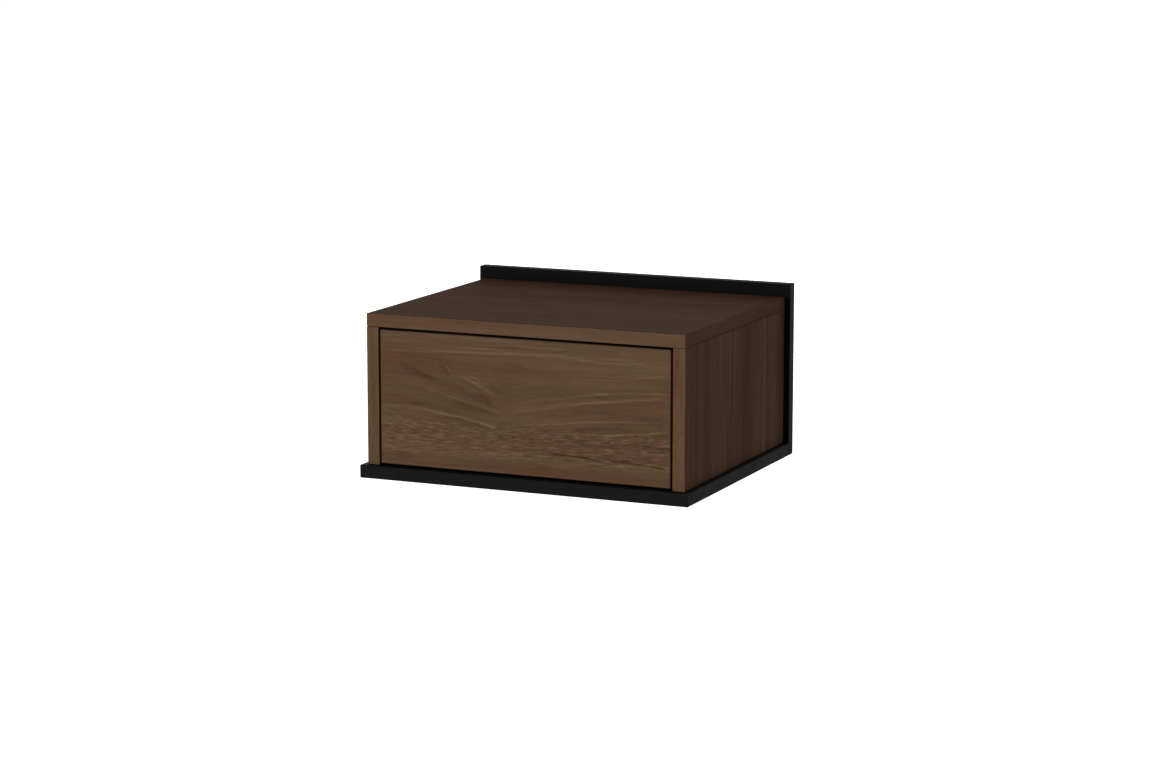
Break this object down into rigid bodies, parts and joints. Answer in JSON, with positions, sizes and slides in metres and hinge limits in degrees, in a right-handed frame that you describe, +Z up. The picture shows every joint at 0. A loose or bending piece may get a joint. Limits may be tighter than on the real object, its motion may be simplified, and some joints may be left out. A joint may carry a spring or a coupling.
{
  "type": "floating nightstand",
  "caption": "Wall-hung nightstand: wooden case with a push-to-open drawer on ball-bearing runners, between a black overhanging base panel and a taller black back panel.",
  "frame": {"origin": "middle of the back panel's rear face, the face that lies on the wall", "axes": "+X to the right seen from the front, +Y into the wall, +Z up; the drawer opens towards -Y"},
  "size_m": [0.43, 0.356, 0.218],
  "materials": {
    "walnut": "satin wood-grain laminate",
    "black_laminate": "matt black laminate",
    "linen_board": "matt woven-look laminate",
    "hardboard": "smooth hardboard",
    "zinc_steel": "zinc plated",
    "zinc_alloy": "die-cast, dull",
    "black_plastic": "fine texture",
    "rubber": "matt",
    "beech": "raw"
  },
  "bodies": {
    "cabinet": {"base_panel": "black_laminate", "back_panel": "black_laminate", "top_panel": "walnut", "left_side_panel": "walnut", "right_side_panel": "walnut", "left_front_cam_lock": "zinc_alloy", "right_front_cam_lock": "zinc_alloy", "left_rear_cam_lock": "zinc_alloy", "right_rear_cam_lock": "zinc_alloy", "left_front_cam_bolt": "zinc_steel", "right_front_cam_bolt": "zinc_steel", "left_rear_cam_bolt": "zinc_steel", "right_rear_cam_bolt": "zinc_steel", "left_top_dowel": "beech", "right_top_dowel": "beech", "left_front_base_screw": "zinc_steel", "right_front_base_screw": "zinc_steel", "left_rear_base_screw": "zinc_steel", "right_rear_base_screw": "zinc_steel", "left_lower_back_screw": "zinc_steel", "right_lower_back_screw": "zinc_steel", "left_upper_back_screw": "zinc_steel", "right_upper_back_screw": "zinc_steel", "left_back_base_screw": "zinc_steel", "right_back_base_screw": "zinc_steel", "left_hanger_plate": "zinc_steel", "right_hanger_plate": "zinc_steel", "left_upper_hanger_screw": "zinc_steel", "right_upper_hanger_screw": "zinc_steel", "left_lower_hanger_screw": "zinc_steel", "right_lower_hanger_screw": "zinc_steel", "left_cabinet_rail": "zinc_steel", "right_cabinet_rail": "zinc_steel", "push_latch_housing": "black_plastic"},
    "drawer": {"drawer_front": "walnut", "left_drawer_side": "linen_board", "right_drawer_side": "linen_board", "drawer_back": "linen_board", "drawer_bottom": "hardboard", "left_drawer_cam_lock": "zinc_alloy", "right_drawer_cam_lock": "zinc_alloy", "left_drawer_cam_bolt": "zinc_steel", "right_drawer_cam_bolt": "zinc_steel", "left_drawer_dowel": "beech", "right_drawer_dowel": "beech", "left_drawer_back_screw": "zinc_steel", "right_drawer_back_screw": "zinc_steel", "left_drawer_rail": "zinc_steel", "right_drawer_rail": "zinc_steel", "push_latch_strike": "zinc_steel"},
    "push_plunger": {"push_latch_plunger": "zinc_steel", "push_latch_tip": "rubber"},
    "left_middle_rail": {"left_middle_rail": "zinc_steel"},
    "left_outer_cage": {"left_outer_ball_cage": "zinc_alloy"},
    "left_inner_cage": {"left_inner_ball_cage": "zinc_alloy"},
    "left_lever": {"left_release_lever": "black_plastic"},
    "right_middle_rail": {"right_middle_rail": "zinc_steel"},
    "right_outer_cage": {"right_outer_ball_cage": "zinc_alloy"},
    "right_inner_cage": {"right_inner_ball_cage": "zinc_alloy"},
    "right_lever": {"right_release_lever": "black_plastic"}
  },
  "joints": [
    {"name": "drawer_slide", "type": "slide", "parent": "cabinet", "child": "drawer", "axis": [0, -1, 0], "range_m": [-0.0025, 0.25]},
    {"name": "push_plunger_slide", "type": "slide", "parent": "cabinet", "child": "push_plunger", "axis": [0, -1, 0], "range_m": [-0.0005, 0.031]},
    {"name": "left_middle_rail_slide", "type": "slide", "parent": "cabinet", "child": "left_middle_rail", "axis": [0, -1, 0], "range_m": [-0.0013, 0.12525]},
    {"name": "left_outer_cage_slide", "type": "slide", "parent": "cabinet", "child": "left_outer_cage", "axis": [0, -1, 0], "range_m": [-0.00065, 0.06263]},
    {"name": "left_inner_cage_slide", "type": "slide", "parent": "cabinet", "child": "left_inner_cage", "axis": [0, -1, 0], "range_m": [-0.00195, 0.18787]},
    {"name": "left_lever_hinge", "type": "hinge", "parent": "drawer", "child": "left_lever", "pos_m": [-0.1816, -0.2135, -0.0195], "axis": [1, 0, 0], "range_deg": [-8, 8], "stiffness_Nm_per_rad": 0.05},
    {"name": "right_middle_rail_slide", "type": "slide", "parent": "cabinet", "child": "right_middle_rail", "axis": [0, -1, 0], "range_m": [-0.0013, 0.12525]},
    {"name": "right_outer_cage_slide", "type": "slide", "parent": "cabinet", "child": "right_outer_cage", "axis": [0, -1, 0], "range_m": [-0.00065, 0.06263]},
    {"name": "right_inner_cage_slide", "type": "slide", "parent": "cabinet", "child": "right_inner_cage", "axis": [0, -1, 0], "range_m": [-0.00195, 0.18787]},
    {"name": "right_lever_hinge", "type": "hinge", "parent": "drawer", "child": "right_lever", "pos_m": [0.1816, -0.2135, -0.0195], "axis": [1, 0, 0], "range_deg": [-8, 8], "stiffness_Nm_per_rad": 0.05}
  ],
  "couplings": [
    {"joint": "push_plunger_slide", "follows": "drawer_slide", "ratio": 0.12},
    {"joint": "left_middle_rail_slide", "follows": "drawer_slide", "ratio": 0.5},
    {"joint": "left_outer_cage_slide", "follows": "drawer_slide", "ratio": 0.25},
    {"joint": "left_inner_cage_slide", "follows": "drawer_slide", "ratio": 0.75},
    {"joint": "right_middle_rail_slide", "follows": "drawer_slide", "ratio": 0.5},
    {"joint": "right_outer_cage_slide", "follows": "drawer_slide", "ratio": 0.25},
    {"joint": "right_inner_cage_slide", "follows": "drawer_slide", "ratio": 0.75}
  ]
}
